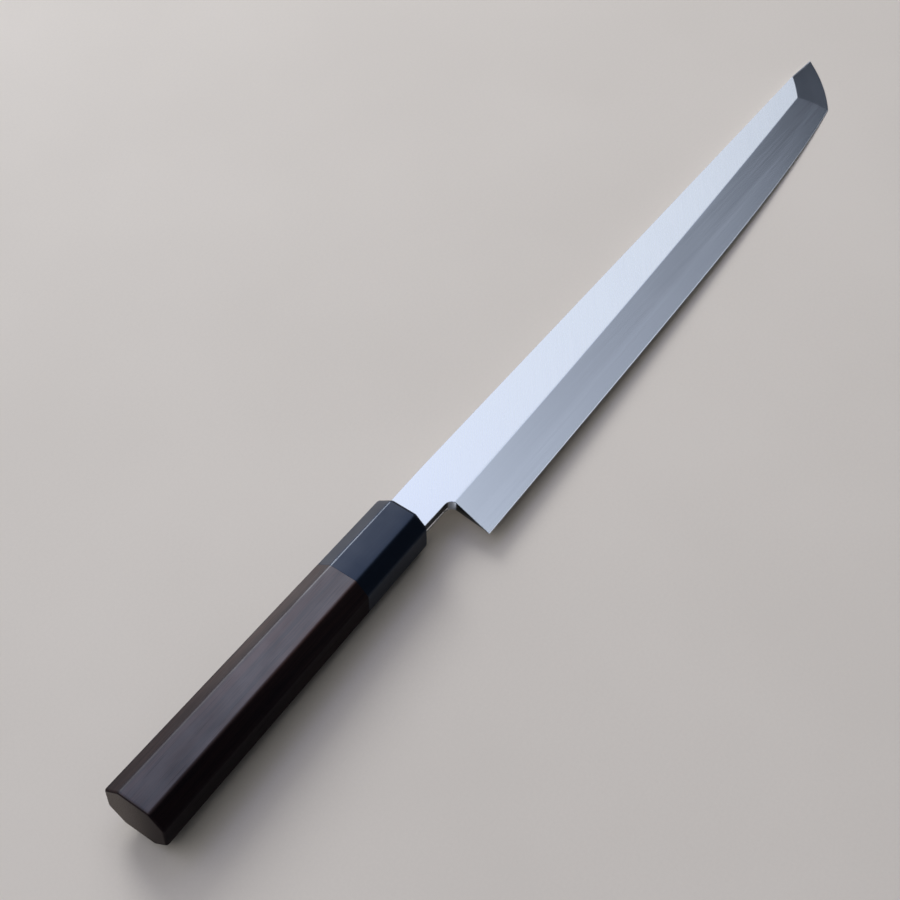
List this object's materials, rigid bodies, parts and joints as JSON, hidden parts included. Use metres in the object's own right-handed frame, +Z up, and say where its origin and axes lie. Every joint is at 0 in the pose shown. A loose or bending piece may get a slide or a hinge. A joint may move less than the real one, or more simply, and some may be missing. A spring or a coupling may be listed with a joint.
{
  "type": "single-bevel slicing knife",
  "caption": "Long single-bevel slicing knife with an angled sword-style tip, a flat front face with a ridge, a horn ferrule and an octagonal dark wooden handle.",
  "frame": {"origin": "on the table, below the middle of the knife's box as it lies", "axes": "+X along the handle towards the point, +Y towards the spine, +Z up out of the blade's front face"},
  "size_m": [0.4442, 0.0396, 0.0241],
  "materials": {
    "soft_iron": "satin",
    "edge_steel": "satin",
    "horn": "gloss",
    "dark_wood": "satin",
    "light_wood": "matte",
    "resin": "satin"
  },
  "bodies": {
    "root": {"blade_body": "soft_iron", "blade_edge_steel": "edge_steel", "horn_ferrule": "horn", "handle_body": "dark_wood", "core_dowel": "light_wood", "mouth_seal": "resin"}
  },
  "joints": []
}
